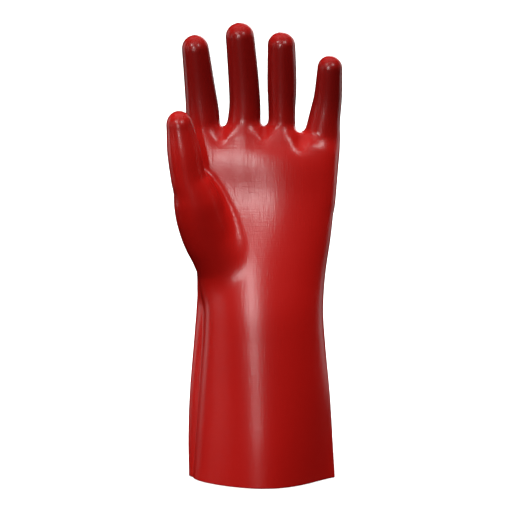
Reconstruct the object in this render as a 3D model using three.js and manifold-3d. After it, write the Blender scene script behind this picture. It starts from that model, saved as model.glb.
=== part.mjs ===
// A left-hand work gauntlet: a knitted glove dipped in PVC, one seamless skin with no seam or binding.
// It stands on its hem and keeps the shape of the form that it was dipped on.
// Millimetres. +Z runs from the hem to the fingertips, the palm faces -Y and the thumb is at -X.
import * as THREE from "three";
import { mergeVertices } from "three/addons/utils/BufferGeometryUtils.js";
import Module from "manifold-3d";

// Skin: the knit and its coating together, and half the thickness of a side fold
const WALL = 1.6;
const FOLD = 2.6;

// Cuff and hand. Widths run from side fold to side fold, depths from palm to back.
const HEM_WIDTH = 110.5;
const HEM_DEPTH = 69;
const WRIST_WIDTH = 92;
const WRIST_DEPTH = 56;
const PALM_WIDTH = 117;
const PALM_DEPTH = 42;
const WEB_DEPTH = 23;

// Heights above the hem, and how far the row of finger webs drops at the hand's two edges
const WRIST_HEIGHT = 133;
const WEB_HEIGHT = 273;
const WEB_DROP = 12;
const CROWN = 16; // the rounded top of the hand, between and under the finger roots

// Digits. Length runs from the buried root to the tip, width and depth are those of the middle joint.
const INDEX = { length: 120, width: 24.5, depth: 23 };
const MIDDLE = { length: 129, width: 23, depth: 24 };
const RING = { length: 122, width: 22, depth: 23 };
const LITTLE = { length: 110, width: 21, depth: 21 };
const THUMB = { length: 132, width: 26, depth: 28 };

// Facets
const HAND_SIDES = 40;
const DIGIT_SIDES = 16;
const CUFF_ROWS = 9;
const HAND_ROWS = 10;
const DIGIT_ROWS = 11;
const CAP_ROWS = 4;
const POLE_GAP = 0.5; // from the last ring of a rounded end to its pole, in rows
const SAME_POINT = 1e-4; // points nearer than this are one

const { lerp, clamp, smoothstep } = THREE.MathUtils;

// Sections of the cuff and hand, from the hem up. front and back are the depths of the two halves as shares of
// the depth, shift moves the folds sideways and lean moves them back, as shares of the width and depth. bulge
// pushes the back half out past the thumb-side fold. left and right shape each fold: 1 is round, 2 is a lens
// and 3 is a pinched corner.
const cuffWidth = (share) => lerp(HEM_WIDTH, WRIST_WIDTH, share);
const cuffDepth = (share) => lerp(HEM_DEPTH, WRIST_DEPTH, share);
const handWidth = (share) => lerp(WRIST_WIDTH, PALM_WIDTH, share);
const handDepth = (share) => lerp(WRIST_DEPTH, PALM_DEPTH, share);
const webDepth = (share) => lerp(PALM_DEPTH, WEB_DEPTH, share);
const cuffHeight = (share) => WRIST_HEIGHT * share;
const handHeight = (share) => lerp(WRIST_HEIGHT, WEB_HEIGHT, share);
const row = (height, width, depth, front, back, shift, lean, bulge, left, right) => ({
  height,
  width,
  depth,
  front: front * depth,
  back: back * depth,
  shift: shift * width,
  lean: lean * depth,
  bulge: bulge * width,
  left,
  right,
});
const SECTIONS = [
  //  height           width           depth          front back  shift lean  bulge left  right
  row(0, cuffWidth(0), cuffDepth(0), 0.53, 0.47, 0.038, 0.0, 0.19, 1.25, 3.0),
  row(cuffHeight(0.22), cuffWidth(0.21), cuffDepth(0.2), 0.53, 0.47, 0.041, 0.0, 0.26, 1.3, 2.4),
  row(cuffHeight(0.5), cuffWidth(0.49), cuffDepth(0.5), 0.52, 0.48, 0.044, 0.0, 0.3, 1.25, 1.7),
  row(cuffHeight(0.8), cuffWidth(0.85), cuffDepth(0.85), 0.52, 0.48, 0.042, 0.0, 0.3, 1.1, 1.2),
  row(WRIST_HEIGHT, cuffWidth(1), cuffDepth(1), 0.51, 0.49, 0.041, 0.0, 0.28, 1.0, 1.0),
  row(handHeight(0.2), handWidth(0.13), handDepth(0.3), 0.5, 0.5, 0.041, 0.02, 0.2, 0.92, 0.92),
  row(handHeight(0.42), handWidth(0.62), handDepth(0.65), 0.48, 0.52, 0.02, 0.03, 0.08, 0.88, 0.88),
  row(handHeight(0.63), handWidth(0.93), handDepth(0.97), 0.47, 0.53, 0.02, 0.04, 0.0, 0.78, 0.78),
  row(handHeight(0.83), handWidth(0.99), webDepth(0.55), 0.48, 0.52, 0.02, 0.03, 0.0, 0.6, 0.6),
  row(WEB_HEIGHT, handWidth(0.93), webDepth(1), 0.5, 0.5, 0.02, 0.0, 0.0, 0.55, 0.55),
];

// The digits. root places the buried root, as shares of the half width of the palm, of its depth and of the web
// height. Each row of path reads: share of the way along, then how far the centre line has moved sideways and
// towards the palm, as shares of the length, then the width and depth, as shares of the digit's own.
const DIGITS = [
  {
    size: INDEX,
    root: [-0.64, 0.02, 0.81],
    path: [
      [0, 0, 0, 1.1, 1.05],
      [0.4, -0.04, 0.0, 1.1, 1.1],
      [0.58, -0.048, 0.025, 1.01, 1.03],
      [0.76, -0.066, 0.062, 0.92, 0.97],
      [1, -0.087, 0.13, 0.84, 0.88],
    ],
  },
  {
    size: MIDDLE,
    root: [-0.222, 0.02, 0.81],
    path: [
      [0, 0, 0, 1.1, 1.05],
      [0.4, 0.01, 0.0, 1.13, 1.1],
      [0.56, 0.019, 0.025, 1.04, 1.02],
      [0.74, 0.011, 0.062, 1.0, 0.97],
      [1, -0.008, 0.13, 0.94, 0.9],
    ],
  },
  {
    size: RING,
    root: [0.3, 0.02, 0.81],
    path: [
      [0, 0, 0, 1.0, 1.05],
      [0.4, 0.0, 0.0, 0.95, 1.1],
      [0.56, 0.0, 0.025, 0.94, 1.02],
      [0.74, 0.0, 0.062, 1.01, 0.97],
      [1, -0.004, 0.13, 0.95, 0.9],
    ],
  },
  {
    size: LITTLE,
    root: [0.78, 0.03, 0.79],
    path: [
      [0, 0, 0, 1.3, 1.05],
      [0.43, 0.02, 0.0, 1.38, 1.1],
      [0.6, 0.037, 0.025, 1.18, 1.03],
      [0.78, 0.061, 0.062, 1.03, 0.95],
      [1, 0.071, 0.13, 0.9, 0.85],
    ],
  },
  {
    size: THUMB,
    root: [-0.42, 0.08, 0.56],
    path: [
      [0, 0, 0, 1.45, 1.45],
      [0.1, -0.016, 0.03, 1.5, 1.46],
      [0.2, -0.054, 0.065, 1.54, 1.48],
      [0.3, -0.108, 0.1, 1.56, 1.44],
      [0.425, -0.15, 0.15, 1.48, 1.36],
      [0.53, -0.172, 0.188, 1.36, 1.28],
      [0.6, -0.186, 0.21, 1.18, 1.18],
      [0.68, -0.212, 0.232, 1.02, 1.07],
      [0.85, -0.236, 0.272, 0.955, 0.94],
      [1, -0.257, 0.3, 0.76, 0.76],
    ],
  },
];

// Shares and powers that shape the rings
const TIP_ROUND_SHARE = 0.43; // length of a fingertip's rounding, of the digit's width
const WEB_PEAK_SHARE = -0.06; // where the row of webs is highest, of the palm's width
const CROWN_WIDTH_SHARE = 0.86; // width of the crown's top, of the hand's width there
const FOLD_POWER = 0.6; // how full the skin is where a side fold turns
const LEAST_FOLD_SHARE = 0.2; // of the fold that is left on the inner face
const HEADING_STEP = 0.02; // share of a digit's path over which its direction is taken

// A value at any place in a table of rows: a cubic through the rows, with slopes from their neighbours.
function smoothRead(rows, key, value, place) {
  const last = rows.length - 1;
  let i = 0;
  while (i < last - 1 && place > rows[i + 1][key]) i++;
  const [before, from, to, after] = [i - 1, i, i + 1, i + 2].map((k) => rows[clamp(k, 0, last)]);
  const span = to[key] - from[key];
  const t = (place - from[key]) / span;
  const start = (span * (to[value] - before[value])) / (to[key] - before[key]);
  const end = (span * (after[value] - from[value])) / (after[key] - from[key]);
  return (
    (2 * t ** 3 - 3 * t ** 2 + 1) * from[value] +
    (t ** 3 - 2 * t ** 2 + t) * start +
    (3 * t ** 2 - 2 * t ** 3) * to[value] +
    (t ** 3 - t ** 2) * end
  );
}

// Angles up a rounded end, from its foot to near its pole
const CAP_TURNS = Array.from({ length: CAP_ROWS }, (_, i) => {
  return ((i + 1) / (CAP_ROWS + POLE_GAP)) * (Math.PI / 2);
});

// One ring of the cuff or hand. The two halves meet at the folds, where angle is 0 and 180 degrees.
// inset is the distance in from the outer face, and close shrinks the ring where the crown rounds over.
function handRing(height, inset, close) {
  const at = (name) => smoothRead(SECTIONS, "height", name, Math.max(0, height));
  const halfWidth = at("width") / 2;
  const fold = Math.max(FOLD - inset, LEAST_FOLD_SHARE * FOLD);
  return Array.from({ length: HAND_SIDES }, (_, i) => {
    const angle = (i / HAND_SIDES) * 2 * Math.PI;
    const across = Math.cos(angle);
    const deep = Math.abs(Math.sin(angle));
    const pinch = lerp(at("left"), at("right"), (1 + across) / 2);
    const isBack = Math.sin(angle) > 0;
    const half = (isBack ? at("back") : at("front")) - inset;
    const reach = ((half - fold) * deep ** pinch + fold * deep ** FOLD_POWER) * close;
    const foldInset = (inset * (1 + pinch)) / 2;
    const bulge = isBack ? (at("bulge") * deep * (1 - across)) / 2 : 0;
    const x = at("shift") + across * (halfWidth * lerp(CROWN_WIDTH_SHARE, 1, close) - foldInset) - bulge;
    const y = at("lean") + (isBack ? reach : -reach);
    const fromPeak = (x - WEB_PEAK_SHARE * PALM_WIDTH) / (PALM_WIDTH / 2);
    const drop = WEB_DROP * fromPeak ** 2 * smoothstep(height, WRIST_HEIGHT, WEB_HEIGHT);
    return new THREE.Vector3(x, y, height - drop);
  });
}

// Rings of the cuff and hand from the hem up, with an elliptical crown. The hollow starts below the hem and
// opens it.
function handRings(inset) {
  const crownStart = WEB_HEIGHT - CROWN;
  const heights = [inset ? -2 * WALL : 0];
  for (let i = 1; i <= CUFF_ROWS; i++) heights.push((WRIST_HEIGHT * i) / CUFF_ROWS);
  for (let i = 1; i <= HAND_ROWS; i++) heights.push(lerp(WRIST_HEIGHT, crownStart, i / HAND_ROWS));
  const rings = heights.map((height) => handRing(height, inset, 1));
  const crown = CAP_TURNS.map((turn) => {
    return handRing(crownStart + (CROWN - inset) * Math.sin(turn), inset, Math.cos(turn));
  });
  return [...rings, ...crown];
}

// Rings of a digit, square to its centre line, with half an ellipsoid at each end.
function digitRings({ size, root, path }, inset) {
  const rows = path.map(([share, side, front, width, depth]) => ({ share, side, front, width, depth }));
  const heel = (rows[0].width * size.width) / 2;
  const cap = TIP_ROUND_SHARE * size.width;
  const shaft = size.length - cap;
  const rootPoint = new THREE.Vector3((root[0] * PALM_WIDTH) / 2, root[1] * PALM_DEPTH, root[2] * WEB_HEIGHT);
  const centreAt = (share) =>
    new THREE.Vector3(
      smoothRead(rows, "share", "side", share) * size.length,
      -smoothRead(rows, "share", "front", share) * size.length,
      share * shaft,
    ).add(rootPoint);
  const ringAt = (share, beyond, close) => {
    const forward = centreAt(Math.min(share + HEADING_STEP, 1))
      .sub(centreAt(Math.max(share - HEADING_STEP, 0)))
      .normalize();
    const side = new THREE.Vector3(1, 0, 0).addScaledVector(forward, -forward.x).normalize();
    const deep = new THREE.Vector3().crossVectors(forward, side);
    const halfWidth = ((size.width * smoothRead(rows, "share", "width", share)) / 2 - inset) * close;
    const halfDepth = ((size.depth * smoothRead(rows, "share", "depth", share)) / 2 - inset) * close;
    const centre = centreAt(share).addScaledVector(forward, beyond);
    return Array.from({ length: DIGIT_SIDES }, (_, i) => {
      const angle = (i / DIGIT_SIDES) * 2 * Math.PI;
      return centre
        .clone()
        .addScaledVector(side, halfWidth * Math.cos(angle))
        .addScaledVector(deep, halfDepth * Math.sin(angle));
    });
  };
  return [
    ...CAP_TURNS.toReversed().map((turn) => ringAt(0, -(heel - inset) * Math.sin(turn), Math.cos(turn))),
    ...Array.from({ length: DIGIT_ROWS + 1 }, (_, i) => ringAt(i / DIGIT_ROWS, 0, 1)),
    ...CAP_TURNS.map((turn) => ringAt(1, (cap - inset) * Math.sin(turn), Math.cos(turn))),
  ];
}

// A closed skin over rings of equal length, with a fan over each end.
function loft(rings) {
  const sides = rings[0].length;
  const points = rings.flat();
  const middle = (ring) => ring.reduce((sum, p) => sum.add(p), new THREE.Vector3()).divideScalar(sides);
  const bottom = points.push(middle(rings[0])) - 1;
  const top = points.push(middle(rings.at(-1))) - 1;
  const faces = [];
  for (let i = 0; i < sides; i++) {
    const j = (i + 1) % sides;
    faces.push(bottom, j, i);
    for (let r = 0; r + 1 < rings.length; r++) {
      const [a, b, c, d] = [r * sides + i, r * sides + j, (r + 1) * sides + j, (r + 1) * sides + i];
      faces.push(a, b, c, a, c, d);
    }
    const lastRow = (rings.length - 1) * sides;
    faces.push(top, lastRow + i, lastRow + j);
  }
  return new THREE.BufferGeometry().setFromPoints(points).setIndex(faces);
}

const wasm = await Module();
wasm.setup();

function toSolid(geometry) {
  const merged = mergeVertices(geometry, SAME_POINT);
  return new wasm.Manifold(
    new wasm.Mesh({
      numProp: 3,
      vertProperties: merged.getAttribute("position").array,
      triVerts: new Uint32Array(merged.index.array),
    }),
  );
}

function toGeometry(solid) {
  const { vertProperties, triVerts } = solid.getMesh();
  const geometry = new THREE.BufferGeometry()
    .setAttribute("position", new THREE.BufferAttribute(vertProperties, 3))
    .setIndex(new THREE.BufferAttribute(triVerts, 1));
  geometry.computeVertexNormals();
  return geometry;
}

// The hand and its five digits as one solid, inset from the outer face.
function gloveForm(inset) {
  return DIGITS.reduce(
    (whole, digit) => whole.add(toSolid(loft(digitRings(digit, inset)))),
    toSolid(loft(handRings(inset))),
  );
}

// The skin is what the dipping leaves between the outer face and the knit's inner face.
function gloveShell() {
  const skin = gloveForm(0).subtract(gloveForm(WALL));
  const mesh = new THREE.Mesh(
    toGeometry(skin),
    new THREE.MeshStandardMaterial({ color: 0xa51618, roughness: 0.32, metalness: 0 }),
  );
  mesh.name = "glove_shell";
  return mesh;
}

const glove = new THREE.Group();
glove.add(gloveShell());

// The origin is on the floor under the middle of the glove's outline.
const outline = new THREE.Box3().setFromObject(glove);
const middle = outline.getCenter(new THREE.Vector3());
glove.position.set(-middle.x, -middle.y, -outline.min.z);

export default glove;
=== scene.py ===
import math

import bmesh
import bpy
import numpy as np
from bpy.props import FloatProperty, FloatVectorProperty, PointerProperty
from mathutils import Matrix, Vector


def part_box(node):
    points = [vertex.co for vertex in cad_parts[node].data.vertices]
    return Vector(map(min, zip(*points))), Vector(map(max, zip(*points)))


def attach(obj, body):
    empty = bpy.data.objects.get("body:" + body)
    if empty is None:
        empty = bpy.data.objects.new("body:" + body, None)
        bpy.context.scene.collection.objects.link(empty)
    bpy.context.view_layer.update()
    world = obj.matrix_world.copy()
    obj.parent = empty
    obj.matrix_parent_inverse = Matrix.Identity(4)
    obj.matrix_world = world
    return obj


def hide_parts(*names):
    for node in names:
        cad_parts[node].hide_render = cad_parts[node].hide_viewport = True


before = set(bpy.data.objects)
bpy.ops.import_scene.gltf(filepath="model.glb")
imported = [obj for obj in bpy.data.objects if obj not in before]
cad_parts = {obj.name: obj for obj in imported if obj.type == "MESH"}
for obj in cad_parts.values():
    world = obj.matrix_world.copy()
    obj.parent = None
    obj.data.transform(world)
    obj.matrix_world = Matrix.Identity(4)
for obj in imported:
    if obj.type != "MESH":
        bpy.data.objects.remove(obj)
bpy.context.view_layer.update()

bl_info = {
    "name": "Dipped Work Gauntlet",
    "version": (1, 0, 0),
    "blender": (4, 5, 0),
    "location": "3D View > Sidebar > Glove",
    "description": "Makes a knitted glove dipped in PVC, and the studio that it stands in",
    "category": "Add Mesh",
}

NODE = "glove_shell"

# The cuff and hand, section by section. In the cuff, height runs from 0 at the hem to 1 at the
# wrist, and in the hand and knuckles from 0 at the wrist to 1 at the webs. width is a share of the
# way from the hem's size to the wrist's, or from the wrist's to the palm's. depth is the same, and
# goes from the palm's to the webs' in the knuckles. front and back are shares of the depth. shift
# and bulge are shares of the width, lean of the depth. left and right shape each side fold: less
# than 1 is fuller than an ellipse, 1 is round, 2 is a lens and 3 is a pinched corner.
SECTION_COLUMNS = (
    "height", "width", "depth", "front", "back", "shift", "lean", "bulge", "left", "right",
)
CUFF_SECTIONS = (
    (0.0, 0.0, 0.0, 0.53, 0.47, 0.038, 0.0, 0.19, 1.32, 3.0),
    (0.22, 0.21, 0.2, 0.53, 0.47, 0.041, 0.0, 0.26, 1.38, 2.4),
    (0.5, 0.49, 0.5, 0.52, 0.48, 0.044, 0.0, 0.30, 1.33, 1.7),
    (0.8, 0.85, 0.85, 0.52, 0.48, 0.042, 0.0, 0.30, 1.15, 1.2),
    (1.0, 1.0, 1.0, 0.51, 0.49, 0.041, 0.0, 0.28, 1.0, 1.0),
)
HAND_SECTIONS = (
    (0.2, 0.13, 0.3, 0.50, 0.50, 0.041, 0.02, 0.20, 0.92, 0.92),
    (0.42, 0.62, 0.62, 0.48, 0.52, 0.019, 0.03, 0.08, 0.82, 0.84),
    (0.63, 0.87, 0.97, 0.47, 0.53, 0.012, 0.04, 0.0, 0.68, 0.70),
)
KNUCKLE_SECTIONS = (
    (0.83, 0.90, 0.38, 0.50, 0.50, 0.010, 0.02, 0.0, 0.57, 0.57),
    (1.0, 0.88, 1.0, 0.50, 0.50, 0.014, 0.0, 0.0, 0.55, 0.55),
    (1.2, 0.80, 1.1, 0.50, 0.50, 0.012, 0.0, 0.0, 0.55, 0.55),
)

# The digits. root is the buried root, as shares of the half width and the depth of the palm and of
# the web height. Each row of path reads: share of the way along, then how far the centre line has
# moved sideways and towards the palm side, as shares of the length, then the width and depth, as
# shares of the digit's own.
PATH_COLUMNS = ("along", "side", "front", "width", "depth")
DIGITS = {
    "index": {
        "root": (-0.64, 0.07, 0.81),
        "path": (
            (0.0, 0.0, 0.0, 1.10, 1.05),
            (0.4, -0.04, 0.0, 1.10, 1.10),
            (0.58, -0.045, 0.025, 1.03, 1.03),
            (0.76, -0.061, 0.062, 0.94, 0.97),
            (1.0, -0.083, 0.13, 0.84, 0.88),
        ),
    },
    "middle": {
        "root": (-0.222, 0.07, 0.81),
        "path": (
            (0.0, 0.0, 0.0, 1.10, 1.05),
            (0.4, 0.01, 0.0, 1.13, 1.10),
            (0.56, 0.019, 0.025, 1.04, 1.02),
            (0.74, 0.011, 0.062, 1.0, 0.97),
            (1.0, -0.008, 0.13, 0.94, 0.90),
        ),
    },
    "ring": {
        "root": (0.30, 0.07, 0.81),
        "path": (
            (0.0, 0.0, 0.0, 1.0, 1.05),
            (0.4, 0.0, 0.0, 0.95, 1.10),
            (0.56, 0.0, 0.025, 0.94, 1.02),
            (0.74, 0.0, 0.062, 1.01, 0.97),
            (1.0, -0.004, 0.13, 0.95, 0.90),
        ),
    },
    "little": {
        "root": (0.78, 0.07, 0.79),
        "path": (
            (0.0, 0.0, 0.0, 1.05, 1.05),
            (0.43, 0.02, 0.0, 1.36, 1.10),
            (0.6, 0.037, 0.025, 1.18, 1.03),
            (0.78, 0.061, 0.062, 1.03, 0.95),
            (1.0, 0.071, 0.13, 0.90, 0.85),
        ),
    },
    "thumb": {
        "root": (-0.42, 0.08, 0.56),
        "path": (
            (0.0, 0.0, 0.0, 1.45, 1.15),
            (0.1, -0.016, 0.03, 1.50, 1.28),
            (0.2, -0.054, 0.065, 1.54, 1.42),
            (0.3, -0.104, 0.10, 1.52, 1.44),
            (0.425, -0.145, 0.15, 1.44, 1.36),
            (0.53, -0.168, 0.188, 1.34, 1.28),
            (0.6, -0.186, 0.21, 1.18, 1.18),
            (0.68, -0.212, 0.232, 1.02, 1.07),
            (0.85, -0.236, 0.272, 0.955, 0.94),
            (1.0, -0.257, 0.30, 0.76, 0.76),
        ),
    },
}

# Soft dents in the palm side of the hand: the hollow of the palm, and one below each gap between
# the fingers. Each row reads: side and height of the middle, as shares of the palm's width and of
# the web height, half width and half height, as shares of the palm's width, slant, which is the
# rise per step sideways, and depth, as a share of the palm's depth.
DENTS = (
    (-0.17, 0.80, 0.30, 0.32, -0.25, 0.11),
    (-0.245, 0.985, 0.035, 0.06, 0.0, 0.07),
    (0.037, 0.985, 0.03, 0.05, 0.0, 0.06),
    (0.272, 0.965, 0.04, 0.06, 0.0, 0.08),
)
DENT_FADE = 0.01  # how far in front of a section's middle the dents reach their full depth
TIP_ROUND = 0.43  # length of a fingertip's rounding, as a share of the digit's width
WEB_PEAK = -0.06  # where the row of webs is highest, as a share of the palm's width
FOLD_POWER = 0.6  # how bluntly a side fold turns; 1 is round and 0 is square

GRID = 0.00165  # spacing of the grid that the surface is drawn through
GRID_LOW = (-0.085, -0.055)  # X and Y of the grid's lowest corner
GRID_HIGH = (0.08, 0.05, 0.36)  # its highest corner
GRID_BELOW = 3  # steps of the grid below the hem
NEWTON_STEPS = 4  # moves of the drawn points onto the exact surface
LEAST_SLOPE = 0.2  # least squared slope that such a move is divided by
HEM_SNAP = 1e-4  # points nearer than this at the hem become one

FINGER_RED_TOP = 0.300  # height from which the coat is at its darkest red
FINGER_RED_BOTTOM = 0.245  # height below which it is at its lightest
KNIT_SCALE = 1100.0  # noise cells a metre across the knit's ribs

CAMERA_DISTANCE = 1.2
CAMERA_ELEVATION = 6.0  # degrees
CAMERA_AIM = (0.00054, 0, -0.001)  # from the middle of the glove
PHOTO_SCALE = 0.000763  # metres to a pixel of the photo, at the glove
PHOTO_SIZE = 512  # pixels
SENSOR = 36.0  # millimetres

# The lights: name, place, point that it faces (None is the middle of the glove), width, height,
# power and whether it shows in the gloss, in the colour or in both.
LIGHTS = (
    ("strip", (-0.38, -1.6, 0.31), (0, 0, 0.2), 0.085, 0.60, 8, "gloss"),
    ("spot right", (0.75, -1.4, 1.15), None, 0.14, 0.14, 5, "gloss"),
    ("spot left", (-0.85, -1.36, 1.15), None, 0.14, 0.14, 5, "gloss"),
    ("key", (-0.35, -1.73, 1.65), None, 1.2, 1.2, 46, "colour"),
    ("side", (-2.1, -0.76, 0.4), None, 1.0, 1.0, 25, "colour"),
    ("edge", (2.0, 0.7, 0.4), None, 1.0, 1.0, 14, "colour"),
    ("right", (1.5, 0.9, 0.5), None, 0.8, 1.4, 4, "gloss"),
    ("behind left", (-1.5, 0.7, 0.5), None, 0.5, 1.4, 3, "gloss"),
    ("back", (0.7, 2.0, 1.1), None, 1.4, 1.4, 22, "both"),
    ("top", (0, 0.6, 2.6), (0, 0.8, 0), 3.0, 3.0, 170, "colour"),
)


class GloveSizes(bpy.types.PropertyGroup):
    """The real sizes of the glove."""

    hem_width: FloatProperty(name="Hem width", description="From side fold to side fold at the hem",
                             default=0.1105, unit="LENGTH")
    hem_depth: FloatProperty(name="Hem depth", description="From palm side to back at the hem",
                             default=0.069, unit="LENGTH")
    wrist_width: FloatProperty(name="Wrist width", description="Across the narrowest part of the cuff",
                               default=0.092, unit="LENGTH")
    wrist_depth: FloatProperty(name="Wrist depth", description="From front to back at the wrist",
                               default=0.056, unit="LENGTH")
    wrist_height: FloatProperty(name="Wrist height", description="From the hem to the wrist",
                                default=0.133, unit="LENGTH")
    palm_width: FloatProperty(name="Palm width", description="Across the hand below the fingers",
                              default=0.117, unit="LENGTH")
    palm_depth: FloatProperty(name="Palm depth", description="From palm to back of the hand",
                              default=0.042, unit="LENGTH")
    web_height: FloatProperty(name="Web height",
                              description="From the hem to the webs between the fingers",
                              default=0.273, unit="LENGTH")
    web_depth: FloatProperty(name="Web depth", description="From front to back of the hand at the webs",
                             default=0.023, unit="LENGTH")
    web_drop: FloatProperty(name="Web drop",
                            description="How far the webs fall towards the sides of the hand",
                            default=0.012, unit="LENGTH")
    index: FloatVectorProperty(name="Index finger", description="Length, width and depth", size=3,
                               default=(0.120, 0.0245, 0.023), unit="LENGTH")
    middle: FloatVectorProperty(name="Middle finger", description="Length, width and depth", size=3,
                                default=(0.129, 0.023, 0.024), unit="LENGTH")
    ring: FloatVectorProperty(name="Ring finger", description="Length, width and depth", size=3,
                              default=(0.122, 0.022, 0.023), unit="LENGTH")
    little: FloatVectorProperty(name="Little finger", description="Length, width and depth", size=3,
                                default=(0.110, 0.021, 0.021), unit="LENGTH")
    thumb: FloatVectorProperty(name="Thumb", description="Length, width and depth", size=3,
                               default=(0.132, 0.026, 0.028), unit="LENGTH")
    wall: FloatProperty(name="Wall", description="Thickness of the knit and its coat together",
                        default=0.0016, unit="LENGTH")
    fold: FloatProperty(name="Side fold",
                        description="Half the thickness of the skin where a side fold turns",
                        default=0.0026, unit="LENGTH")
    finger_fillet: FloatProperty(name="Finger fillet",
                                 description="How softly the fingers run into the hand",
                                 default=0.006, unit="LENGTH")
    thumb_fillet: FloatProperty(name="Thumb fillet",
                                description="How softly the thumb runs into the palm",
                                default=0.010, unit="LENGTH")
    web_round: FloatProperty(name="Web rounding",
                             description="How far the tops of the webs are rounded over",
                             default=0.009, unit="LENGTH")


class GloveFinish(bpy.types.PropertyGroup):
    """The colours and finish of the coat and of the knit inside it."""

    # The red of the coat below the fingers, then the darker red that the fingers are drawn in.
    coat_colour: FloatVectorProperty(name="Coat colour",
                                     description="Red of the PVC where it lies thin",
                                     subtype="COLOR", size=3, min=0, max=1,
                                     default=(0.46, 0.008, 0.006))
    finger_colour: FloatVectorProperty(name="Deep colour",
                                     description="Red of the PVC where it lies thick",
                                     subtype="COLOR", size=3, min=0, max=1,
                                     default=(0.22, 0.005, 0.004))
    coat_roughness: FloatProperty(name="Coat roughness",
                                  description="How soft the gloss of the coat is",
                                  subtype="FACTOR", default=0.27, min=0, max=1)
    rib_depth: FloatProperty(name="Rib depth",
                             description="How far the knit's ribs show through the coat",
                             default=0.00008, unit="LENGTH", precision=5)
    knit_colour: FloatVectorProperty(name="Knit colour", description="Cotton of the inside",
                                     subtype="COLOR", size=3, default=(0.72, 0.66, 0.54), min=0, max=1)


def smooth_read(places, values, at):
    """Reads a column of a table at any place: a cubic through the rows, whose slope at each row is
    the one between the rows before and after it."""
    rise, run = (np.concatenate([a[1:2] - a[:1], a[2:] - a[:-2], a[-1:] - a[-2:-1]])
                 for a in (values, places))
    slope = rise / run
    i = np.clip(np.searchsorted(places, at, side="right") - 1, 0, len(places) - 2)
    span = places[i + 1] - places[i]
    t = (at - places[i]) / span
    return ((2 * t**3 - 3 * t**2 + 1) * values[i] + (t**3 - 2 * t**2 + t) * span * slope[i]
            + (3 * t**2 - 2 * t**3) * values[i + 1] + (t**3 - t**2) * span * slope[i + 1])


def mix(a, b, share):
    """The value a share of the way from a to b."""
    return a + (b - a) * share


def smooth_step(low, high, at):
    """Rises from 0 at low to 1 at high, level at both ends."""
    t = np.clip((at - low) / (high - low), 0, 1)
    return t * t * (3 - 2 * t)


def soft_min(a, b, width):
    """The lesser of two distances, less a parabola where they are within width of each other."""
    near = np.clip(1 - np.abs(a - b) / width, 0, 1)
    return np.minimum(a, b) - near**2 * width / 4


def soft_max(a, b, width):
    """The greater of two distances, rounded the same way."""
    return -soft_min(-a, -b, width)


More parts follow.
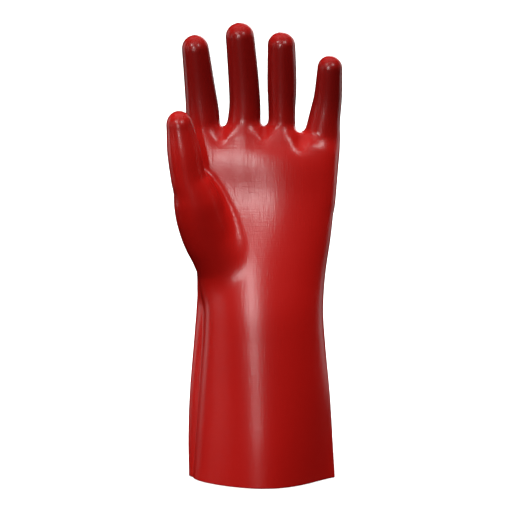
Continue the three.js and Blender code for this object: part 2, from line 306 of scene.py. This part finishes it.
class HandForm:
    """The cuff and hand as a distance from their surface.

    A section at height z is a closed curve of two halves that meet at the side folds. With the
    angle a round it, x = shift + half width * cos a, and y goes out from the folds by the half's
    depth * |sin a| to the power that shapes the fold. The back half is pushed out past the
    thumb-side fold by bulge * |sin a|, less and less towards the other fold. The sections are kept
    as a radius for each height and direction, read between its entries, and the distance of a point
    is its own radius less that one, divided by the steepness of the surface there."""

    LEVELS = 720
    DIRECTIONS = 1440
    POINTS = 720

    def __init__(self, sizes):
        rows = []
        for height, width, depth, *rest in CUFF_SECTIONS:
            rows.append((sizes.wrist_height * height, mix(sizes.hem_width, sizes.wrist_width, width),
                         mix(sizes.hem_depth, sizes.wrist_depth, depth), *rest))
        for height, width, depth, *rest in HAND_SECTIONS:
            rows.append((mix(sizes.wrist_height, sizes.web_height, height),
                         mix(sizes.wrist_width, sizes.palm_width, width),
                         mix(sizes.wrist_depth, sizes.palm_depth, depth), *rest))
        for height, width, depth, *rest in KNUCKLE_SECTIONS:
            rows.append((mix(sizes.wrist_height, sizes.web_height, height),
                         mix(sizes.wrist_width, sizes.palm_width, width),
                         mix(sizes.palm_depth, sizes.web_depth, depth), *rest))
        table = np.array(rows)
        self.heights = table[:, 0]
        self.table = dict(zip(SECTION_COLUMNS, table.T))
        self.sizes = sizes
        self.top = self.heights[-1]
        levels = np.linspace(0, self.top, self.LEVELS)
        angle = np.linspace(0, 2 * np.pi, self.POINTS, endpoint=False)
        x, y = self.outline(levels[:, None], angle[None])
        cx, cy = self.centre(levels)
        direction = np.arctan2(y - cy[:, None], x - cx[:, None])
        radius = np.hypot(y - cy[:, None], x - cx[:, None])
        grid = np.linspace(-np.pi, np.pi, self.DIRECTIONS, endpoint=False)
        self.radius = np.array([np.interp(grid, d, r, period=2 * np.pi)
                                for d, r in zip(direction, radius)])
        turn = (np.roll(self.radius, -1, 1) - np.roll(self.radius, 1, 1)) / (2 * (grid[1] - grid[0]))
        climb = np.gradient(self.radius, levels[1] - levels[0], axis=0)
        self.steepness = np.sqrt(1 + (turn / self.radius) ** 2 + climb**2)

    def read(self, column, z):
        """A column of the section table at heights z."""
        return smooth_read(self.heights, self.table[column], np.clip(z, 0, self.top))

    def centre(self, z):
        """The middle of the section, which every point of it is seen from."""
        return (self.read("shift", z) * self.read("width", z),
                self.read("lean", z) * self.read("depth", z))

    def outline(self, z, angle):
        """Points of the sections at heights z and angles round them."""
        width, depth = self.read("width", z), self.read("depth", z)
        across, deep = np.cos(angle), np.abs(np.sin(angle))
        power = mix(self.read("left", z), self.read("right", z), (1 + across) / 2)
        is_back = np.sin(angle) > 0
        half = depth * np.where(is_back, self.read("back", z), self.read("front", z))
        fold = self.sizes.fold
        reach = (half - fold) * deep**power + fold * deep**FOLD_POWER
        bulge = np.where(is_back, self.read("bulge", z) * width * deep * (1 - across) / 2, 0)
        cx, cy = self.centre(z)
        return cx + across * width / 2 - bulge, cy + np.where(is_back, reach, -reach)

    def lookup(self, table, z, direction):
        """Reads a table of heights and directions between its entries."""
        row = np.clip(z, 0, self.top) / self.top * (self.LEVELS - 1)
        column = (direction + np.pi) / (2 * np.pi) * self.DIRECTIONS
        i = np.clip(row.astype(int), 0, self.LEVELS - 2)
        j = np.floor(column).astype(int)
        u, v = row - i, column - j
        j, k = j % self.DIRECTIONS, (j + 1) % self.DIRECTIONS
        return ((1 - u) * ((1 - v) * table[i, j] + v * table[i, k])
                + u * ((1 - v) * table[i + 1, j] + v * table[i + 1, k]))

    def dents(self, x, z):
        """How far the palm side is pressed in: for each dent, its depth times e to the power of
        minus the sum of the squares of how far across and up the place is, in half widths and half
        heights."""
        pressed = 0
        for side, height, half_width, half_height, slant, depth in DENTS:
            across = x / self.sizes.palm_width - side
            up = (z - height * self.sizes.web_height) / self.sizes.palm_width - slant * across
            pressed = pressed + depth * self.sizes.palm_depth * np.exp(
                -((across / half_width) ** 2) - (up / half_height) ** 2)
        return pressed

    def distance(self, x, y, z):
        """Distance from the hand's side with its dents, cut off by the arched row of webs."""
        cx, cy = self.centre(z)
        direction = np.arctan2(y - cy, x - cx)
        side = (np.hypot(x - cx, y - cy) - self.lookup(self.radius, z, direction)) / self.lookup(
            self.steepness, z, direction)
        side = side + self.dents(x, z) * smooth_step(0.0, DENT_FADE, cy - y)
        from_peak = (x - WEB_PEAK * self.sizes.palm_width) / (self.sizes.palm_width / 2)
        roof = z - (self.sizes.web_height - self.sizes.web_drop * from_peak**2)
        return soft_max(side, roof, self.sizes.web_round)


class DigitForm:
    """A digit as a distance from its surface: an ellipse carried along a bent centre line, with
    half an ellipsoid at each end. The distance is the size of the like ellipse through the point,
    less 1, times the mean of the half width and half depth."""

    def __init__(self, sizes, length, width, depth, root, path):
        self.length, self.width, self.depth = length, width, depth
        self.cap = TIP_ROUND * width
        self.shaft = length - self.cap
        self.heel = path[0][PATH_COLUMNS.index("width")] * width / 2
        self.root = np.array((root[0] * sizes.palm_width / 2, root[1] * sizes.palm_depth,
                              root[2] * sizes.web_height))
        self.table = dict(zip(PATH_COLUMNS, np.array(path).T))

    def read(self, column, along):
        """A column of the path table at shares of the way along."""
        return smooth_read(self.table["along"], self.table[column], along)

    def centre(self, along):
        """Points of the centre line."""
        return (self.root[0] + self.read("side", along) * self.length,
                self.root[1] - self.read("front", along) * self.length,
                self.root[2] + along * self.shaft)

    def heading(self, along):
        """Unit vectors along the centre line, from a short step ahead and a short step behind."""
        step = 0.02
        ahead = self.centre(np.minimum(along + step, 1))
        behind = self.centre(np.maximum(along - step, 0))
        vector = np.stack([a - b for a, b in zip(ahead, behind)])
        return vector / np.linalg.norm(vector, axis=0)

    def distance(self, x, y, z):
        """Distance from the digit's surface, seen from the place along it that the point is level
        with. Two steps find that place, from the height."""
        along = np.clip((z - self.root[2]) / self.shaft, 0, 1)
        for _ in range(2):
            cx, cy, cz = self.centre(along)
            fx, fy, fz = self.heading(along)
            beyond = (x - cx) * fx + (y - cy) * fy + (z - cz) * fz
            along = np.clip(along + beyond / self.length, 0, 1)
        cx, cy, cz = self.centre(along)
        fx, fy, fz = self.heading(along)
        dx, dy, dz = x - cx, y - cy, z - cz
        beyond = dx * fx + dy * fy + dz * fz
        side_length = np.sqrt(1 - fx**2)
        sideways = (dx - beyond * fx) / side_length
        through = np.sqrt(np.maximum(dx**2 + dy**2 + dz**2 - beyond**2 - sideways**2, 0))
        half_width = self.width * self.read("width", along) / 2
        half_depth = self.depth * self.read("depth", along) / 2
        end = np.where(beyond > 0, self.cap, self.heel)
        size = np.sqrt((sideways / half_width) ** 2 + (through / half_depth) ** 2 + (beyond / end) ** 2)
        return (size - 1) * (half_width + half_depth) / 2


def glove_distance(sizes):
    """The whole glove's outer face as a distance: the hand, joined to the fingers and then to the
    thumb with a soft fillet at each joint."""
    hand = HandForm(sizes)
    digits = {name: DigitForm(sizes, *getattr(sizes, name), **rows) for name, rows in DIGITS.items()}

    def distance(points):
        x, y, z = points
        fingers = digits["index"].distance(x, y, z)
        for name in ("middle", "ring", "little"):
            fingers = soft_min(fingers, digits[name].distance(x, y, z), sizes.wall)
        whole = soft_min(hand.distance(x, y, z), fingers, sizes.finger_fillet)
        return soft_min(whole, digits["thumb"].distance(x, y, z), sizes.thumb_fillet)

    return distance


def slope_of(distance, points):
    """The gradient of a distance, from its change over a short step each way along each axis."""
    step = 0.0002
    slopes = []
    for axis in range(3):
        move = np.zeros((3, 1))
        move[axis] = step
        slopes.append((distance(points + move) - distance(points - move)) / (2 * step))
    return np.stack(slopes)


def surface_net(values, corner, spacing):
    """Draws the zero surface of a grid of distances. Each cell that it passes through gets one
    point, the mean of the places where it crosses the cell's edges, and each crossed edge gets a
    quad of the four cells round it. Returns points (3, n) and quads (m, 4), their fronts towards
    the greater distances."""
    cells = np.array(values.shape) - 1
    ids, places, quads, flips = [], [], [], []
    for axis in range(3):
        low = [slice(None)] * 3
        high = [slice(None)] * 3
        low[axis], high[axis] = slice(None, -1), slice(1, None)
        a, b = values[tuple(low)], values[tuple(high)]
        edge = np.stack(np.nonzero((a < 0) != (b < 0)))
        at, to = a[tuple(edge)], b[tuple(edge)]
        place = edge.astype(float)
        place[axis] += at / (at - to)
        u, v = (axis + 1) % 3, (axis + 2) % 3
        ring = []
        for du, dv in ((0, 0), (-1, 0), (-1, -1), (0, -1)):
            cell = edge.copy()
            cell[u] += du
            cell[v] += dv
            ring.append(cell)
        whole = np.all([np.all((c >= 0) & (c < cells[:, None]), axis=0) for c in ring], axis=0)
        numbers = [np.ravel_multi_index(tuple(c[:, whole]), cells) for c in ring]
        ids += numbers
        places += [place[:, whole]] * 4
        quads.append(np.stack(numbers, 1))
        flips.append(to[whole] < 0)
    ids, places = np.concatenate(ids), np.concatenate(places, 1)
    used, index = np.unique(ids, return_inverse=True)
    count = np.bincount(index)
    points = np.stack([np.bincount(index, p) / count for p in places])
    quads = np.searchsorted(used, np.concatenate(quads))
    flip = np.concatenate(flips)
    quads[flip] = quads[flip][:, ::-1]
    return points * spacing + corner[:, None], quads


def drawn_glove(sizes, spacing):
    """The outer face of the glove, open at the hem: the surface net through a grid round the whole
    glove, moved onto the exact surface along its slope."""
    distance = glove_distance(sizes)
    low = np.array((*GRID_LOW, -GRID_BELOW * spacing))
    axes = [np.arange(a, b, spacing) for a, b in zip(low, GRID_HIGH)]
    values = np.stack([distance(np.stack(np.broadcast_arrays(axes[0][:, None], axes[1][None], z)))
                       for z in axes[2]], axis=2)
    points, quads = surface_net(values, low, spacing)
    for _ in range(NEWTON_STEPS):
        slope = slope_of(distance, points)
        points -= slope * distance(points) / np.maximum((slope**2).sum(0), LEAST_SLOPE)
    return points.T, quads


def cut_at_hem(points, quads):
    """Cuts the drawn skin off level at the hem. Returns its points and its faces as a mesh."""
    mesh = bpy.data.meshes.new("drawn")
    mesh.from_pydata(points, [], quads)
    work = bmesh.new()
    work.from_mesh(mesh)
    geometry = [*work.verts, *work.edges, *work.faces]
    bmesh.ops.bisect_plane(work, geom=geometry, plane_co=(0, 0, 0), plane_no=(0, 0, 1),
                           clear_inner=True, dist=1e-5)
    at_hem = [v for v in work.verts if v.co.z < HEM_SNAP]
    bmesh.ops.remove_doubles(work, verts=at_hem, dist=HEM_SNAP)
    for vert in work.verts:
        if vert.is_boundary:
            vert.co.z = 0
    work.normal_update()
    work.to_mesh(mesh)
    work.free()
    return mesh


def mesh_arrays(mesh):
    """A mesh's points, normals, polygon corners and polygon sizes as arrays."""
    points = np.empty(len(mesh.vertices) * 3)
    mesh.vertices.foreach_get("co", points)
    normals = np.empty(len(mesh.vertices) * 3)
    mesh.vertices.foreach_get("normal", normals)
    corners = np.empty(len(mesh.loops), int)
    mesh.loops.foreach_get("vertex_index", corners)
    sizes = np.empty(len(mesh.polygons), int)
    mesh.polygons.foreach_get("loop_total", sizes)
    return points.reshape(-1, 3), normals.reshape(-1, 3), corners, sizes


def shell_mesh(name, skin, wall):
    """Gives a skin its wall: its points again, moved in by the wall, with the faces turned over,
    and a band of quads round the open edge. The band and the outer face are material 0 and the
    inner face is material 1."""
    points, normals, corners, sizes = mesh_arrays(skin)
    count = len(points)
    inner = points - wall * normals
    at_hem = points[:, 2] < 1e-7
    inner[at_hem, 2] = 0
    starts = np.concatenate([[0], np.cumsum(sizes)[:-1]])
    ends = starts + sizes
    following = np.arange(len(corners)) + 1
    following[ends - 1] = starts
    a, b = corners, corners[following]
    edge, twin = a * count + b, b * count + a
    open_edge = ~np.isin(edge, twin)
    band = np.stack([b[open_edge], a[open_edge], a[open_edge] + count, b[open_edge] + count], 1)
    backward = np.repeat(starts + ends - 1, sizes) - np.arange(len(corners))
    loops = np.concatenate([corners, corners[backward] + count, band.ravel()])
    totals = np.concatenate([sizes, sizes, np.full(len(band), 4)])
    mesh = bpy.data.meshes.new(name)
    mesh.vertices.add(2 * count)
    mesh.vertices.foreach_set("co", np.concatenate([points, inner]).ravel())
    mesh.loops.add(len(loops))
    mesh.loops.foreach_set("vertex_index", loops)
    mesh.polygons.add(len(totals))
    mesh.polygons.foreach_set("loop_start", np.concatenate([[0], np.cumsum(totals)[:-1]]))
    counts = (len(sizes), len(sizes), len(band))
    mesh.polygons.foreach_set("material_index", np.repeat((0, 1, 0), counts))
    mesh.polygons.foreach_set("use_smooth", np.repeat((True, True, False), counts))
    mesh.update(calc_edges=True)
    if mesh.validate():
        raise RuntimeError("the glove's mesh needed repair")
    return mesh


def new_material(name):
    """An empty material with its output and a Principled shader. Returns both and the node tree."""
    material = bpy.data.materials.new(name)
    material.use_nodes = True
    tree = material.node_tree
    shader = tree.nodes["Principled BSDF"]
    return material, tree, shader


def add_node(tree, kind, **values):
    """A node of a kind, with its settings and the values of its unlinked sockets."""
    node = tree.nodes.new(kind)
    for key, value in values.items():
        if hasattr(node, key):
            setattr(node, key, value)
        else:
            node.inputs[key.replace("_", " ")].default_value = value
    return node


def coat_material(finish):
    """Glossy red PVC. The red goes from the darker red at the fingers to the lighter red below them,
    with soft clouds added to the share. The knit shows through as relief, the sum of two noises:
    the wales, drawn out up the glove, and the courses, drawn out across it and a little lower."""
    material, tree, shader = new_material("pvc_coat")
    link = tree.links.new
    place = add_node(tree, "ShaderNodeTexCoord")

    clouds = add_node(tree, "ShaderNodeTexNoise", Scale=14.0, Detail=3.0, Roughness=0.5)
    link(place.outputs["Object"], clouds.inputs["Vector"])
    drift = add_node(tree, "ShaderNodeMath", operation="MULTIPLY_ADD")
    drift.inputs[1].default_value = 0.5
    drift.inputs[2].default_value = -0.25
    link(clouds.outputs["Fac"], drift.inputs[0])
    parts = add_node(tree, "ShaderNodeSeparateXYZ")
    link(place.outputs["Object"], parts.inputs["Vector"])
    # Share of the lighter red: 0 at the fingers, rising to 1 below them.
    below_fingers = add_node(tree, "ShaderNodeMapRange", interpolation_type="SMOOTHSTEP", From_Min=FINGER_RED_TOP,
                   From_Max=FINGER_RED_BOTTOM)
    link(parts.outputs["Z"], below_fingers.inputs["Value"])
    share = add_node(tree, "ShaderNodeMath", operation="ADD", use_clamp=True)
    link(below_fingers.outputs["Result"], share.inputs[0])
    link(drift.outputs["Value"], share.inputs[1])
    colour = add_node(tree, "ShaderNodeMix", data_type="RGBA")
    colour.inputs["A"].default_value = (*finish.finger_colour, 1)
    colour.inputs["B"].default_value = (*finish.coat_colour, 1)
    link(share.outputs["Value"], colour.inputs["Factor"])
    link(colour.outputs["Result"], shader.inputs["Base Color"])

    height = add_node(tree, "ShaderNodeMath", operation="ADD")
    for i, (squeeze, depth) in enumerate((((1, 1, 0.05), 1.0), ((0.06, 0.06, 1), 0.8))):
        drawn_out = add_node(tree, "ShaderNodeMapping", Scale=squeeze)
        link(place.outputs["Object"], drawn_out.inputs["Vector"])
        ribs = add_node(tree, "ShaderNodeTexNoise", Scale=KNIT_SCALE, Detail=1.0, Roughness=0.5)
        link(drawn_out.outputs["Vector"], ribs.inputs["Vector"])
        scaled = add_node(tree, "ShaderNodeMath", operation="MULTIPLY")
        scaled.inputs[1].default_value = depth
        link(ribs.outputs["Fac"], scaled.inputs[0])
        link(scaled.outputs["Value"], height.inputs[i])
    relief = add_node(tree, "ShaderNodeBump", Strength=1.0, Distance=finish.rib_depth)
    link(height.outputs["Value"], relief.inputs["Height"])
    link(relief.outputs["Normal"], shader.inputs["Normal"])
    shader.inputs["Roughness"].default_value = finish.coat_roughness
    return material


def knit_material(finish):
    """Cream cotton jersey: its wales are relief, from a wave with a little noise in it."""
    material, tree, shader = new_material("knit_lining")
    link = tree.links.new
    place = add_node(tree, "ShaderNodeTexCoord")
    wales = add_node(tree, "ShaderNodeTexWave", Scale=320.0, Distortion=1.5)
    link(place.outputs["Object"], wales.inputs["Vector"])
    relief = add_node(tree, "ShaderNodeBump", Strength=0.6, Distance=0.0003)
    link(wales.outputs["Fac"], relief.inputs["Height"])
    link(relief.outputs["Normal"], shader.inputs["Normal"])
    shader.inputs["Base Color"].default_value = (*finish.knit_colour, 1)
    shader.inputs["Roughness"].default_value = 0.9
    return material


def centre_on_solid(mesh):
    """Moves a mesh so that the middle of its box is over the middle of the CAD solid's, and its hem
    is level with the solid's."""
    points = np.empty(len(mesh.vertices) * 3)
    mesh.vertices.foreach_get("co", points)
    points = points.reshape(-1, 3)
    low, high = (np.array(corner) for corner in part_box(NODE))
    shift = (low + high) / 2 - (points.min(0) + points.max(0)) / 2
    shift[2] = low[2]
    points += shift
    mesh.vertices.foreach_set("co", points.ravel())
    mesh.update()


class OBJECT_OT_dipped_glove(bpy.types.Operator):
    """Make the dipped glove in place of its CAD solid"""

    bl_idname = "object.dipped_glove"
    bl_label = "Dipped Glove"

    def execute(self, context):
        sizes = context.scene.glove_sizes
        finish = context.scene.glove_finish
        points, quads = drawn_glove(sizes, GRID * (1))
        skin = cut_at_hem(points, quads)
        mesh = shell_mesh("glove", skin, sizes.wall)
        centre_on_solid(mesh)
        glove = bpy.data.objects.new("glove", mesh)
        context.scene.collection.objects.link(glove)
        mesh.materials.append(coat_material(finish))
        mesh.materials.append(knit_material(finish))
        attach(glove, "root")
        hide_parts(NODE)
        return {"FINISHED"}


def soft_box(name, position, target, width, height, power, shows):
    """A rectangular studio light that faces a point and shows in the gloss, the colour or both."""
    data = bpy.data.lights.new(name, "AREA")
    data.shape = "RECTANGLE"
    data.size, data.size_y = width, height
    data.energy = power
    light = bpy.data.objects.new(name, data)
    light.location = position
    light.rotation_euler = (Vector(target) - Vector(position)).to_track_quat("-Z", "Y").to_euler()
    light.visible_glossy = shows != "colour"
    light.visible_diffuse = shows != "gloss"
    bpy.context.scene.collection.objects.link(light)


def bowl_mesh(name, radius, height, bend):
    """The floor and backdrop as one sheet: a profile that runs level out to the bend, turns up
    through a quarter circle and rises to the height, carried round Z and closed in the middle by
    one face."""
    sides, turns, middle_radius = 96, 24, 0.01
    turn = np.linspace(0, np.pi / 2, turns)
    r = np.concatenate([[middle_radius], radius - bend + bend * np.sin(turn), [radius]])
    z = np.concatenate([[0], bend - bend * np.cos(turn), [height]])
    angle = np.arange(sides) * (2 * np.pi / sides)
    points = np.stack([np.outer(np.cos(angle), r), np.outer(np.sin(angle), r),
                       np.tile(z, (sides, 1))], -1)
    i, j = np.divmod(np.arange(sides * (len(r) - 1)), len(r) - 1)
    here, after = i * len(r) + j, (i + 1) % sides * len(r) + j
    quads = np.stack([here, here + 1, after + 1, after], 1)
    middle = (np.arange(sides) * len(r)).tolist()
    mesh = bpy.data.meshes.new(name)
    mesh.from_pydata(points.reshape(-1, 3), [], [*quads.tolist(), middle])
    mesh.polygons.foreach_set("use_smooth", np.ones(len(mesh.polygons), bool))
    return mesh


class SCENE_OT_glove_studio(bpy.types.Operator):
    """Make the floor, the lights and the camera"""

    bl_idname = "scene.glove_studio"
    bl_label = "Glove Studio"

    def execute(self, context):
        scene = context.scene
        low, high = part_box(NODE)
        centre = (Vector(low) + Vector(high)) / 2
        floor = bpy.data.objects.new("floor", bowl_mesh("floor", radius=2.5, height=3.0, bend=1.2))
        scene.collection.objects.link(floor)
        material, _, shader = new_material("paper")
        shader.inputs["Base Color"].default_value = (0.86, 0.86, 0.86, 1)
        shader.inputs["Roughness"].default_value = 0.9
        floor.data.materials.append(material)
        floor.visible_glossy = False
        floor.visible_diffuse = False

        camera = bpy.data.objects.new("camera", bpy.data.cameras.new("camera"))
        scene.collection.objects.link(camera)
        elevation = math.radians(CAMERA_ELEVATION)
        aim = centre + Vector(CAMERA_AIM)
        backward = Vector((0, -math.cos(elevation), math.sin(elevation)))
        camera.location = aim + CAMERA_DISTANCE * backward
        camera.rotation_euler = (aim - camera.location).to_track_quat("-Z", "Y").to_euler()
        camera.data.sensor_width = SENSOR
        camera.data.lens = SENSOR / PHOTO_SIZE * CAMERA_DISTANCE / PHOTO_SCALE
        scene.camera = camera

        for name, position, target, *rest in LIGHTS:
            soft_box(name, position, target or centre, *rest)
        world = bpy.data.worlds.new("studio")
        scene.world = world
        world.use_nodes = True
        world.node_tree.nodes["Background"].inputs["Color"].default_value = (0.95, 0.95, 0.95, 1)
        world.cycles_visibility.diffuse = False
        world.cycles_visibility.glossy = False
        scene.view_settings.view_transform = "Standard"
        return {"FINISHED"}


class VIEW3D_PT_glove(bpy.types.Panel):
    """Lists what makes the glove and its studio"""

    bl_label = "Dipped Glove"
    bl_space_type = "VIEW_3D"
    bl_region_type = "UI"
    bl_category = "Glove"

    def draw(self, context):
        layout = self.layout
        for operator in OPERATORS:
            layout.operator(operator.bl_idname)
        for group in (context.scene.glove_sizes, context.scene.glove_finish):
            box = layout.box()
            for name in group.__annotations__:
                box.prop(group, name)


OPERATORS = (SCENE_OT_glove_studio, OBJECT_OT_dipped_glove)
CLASSES = (GloveSizes, GloveFinish, *OPERATORS, VIEW3D_PT_glove)


def register():
    for cls in CLASSES:
        bpy.utils.register_class(cls)
    bpy.types.Scene.glove_sizes = PointerProperty(type=GloveSizes)
    bpy.types.Scene.glove_finish = PointerProperty(type=GloveFinish)


def unregister():
    del bpy.types.Scene.glove_finish
    del bpy.types.Scene.glove_sizes
    for cls in reversed(CLASSES):
        bpy.utils.unregister_class(cls)


def main():
    """Registers the add-on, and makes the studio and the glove."""
    register()
    bpy.ops.scene.glove_studio()
    bpy.ops.object.dipped_glove()


if __name__ == "__main__":
    main()
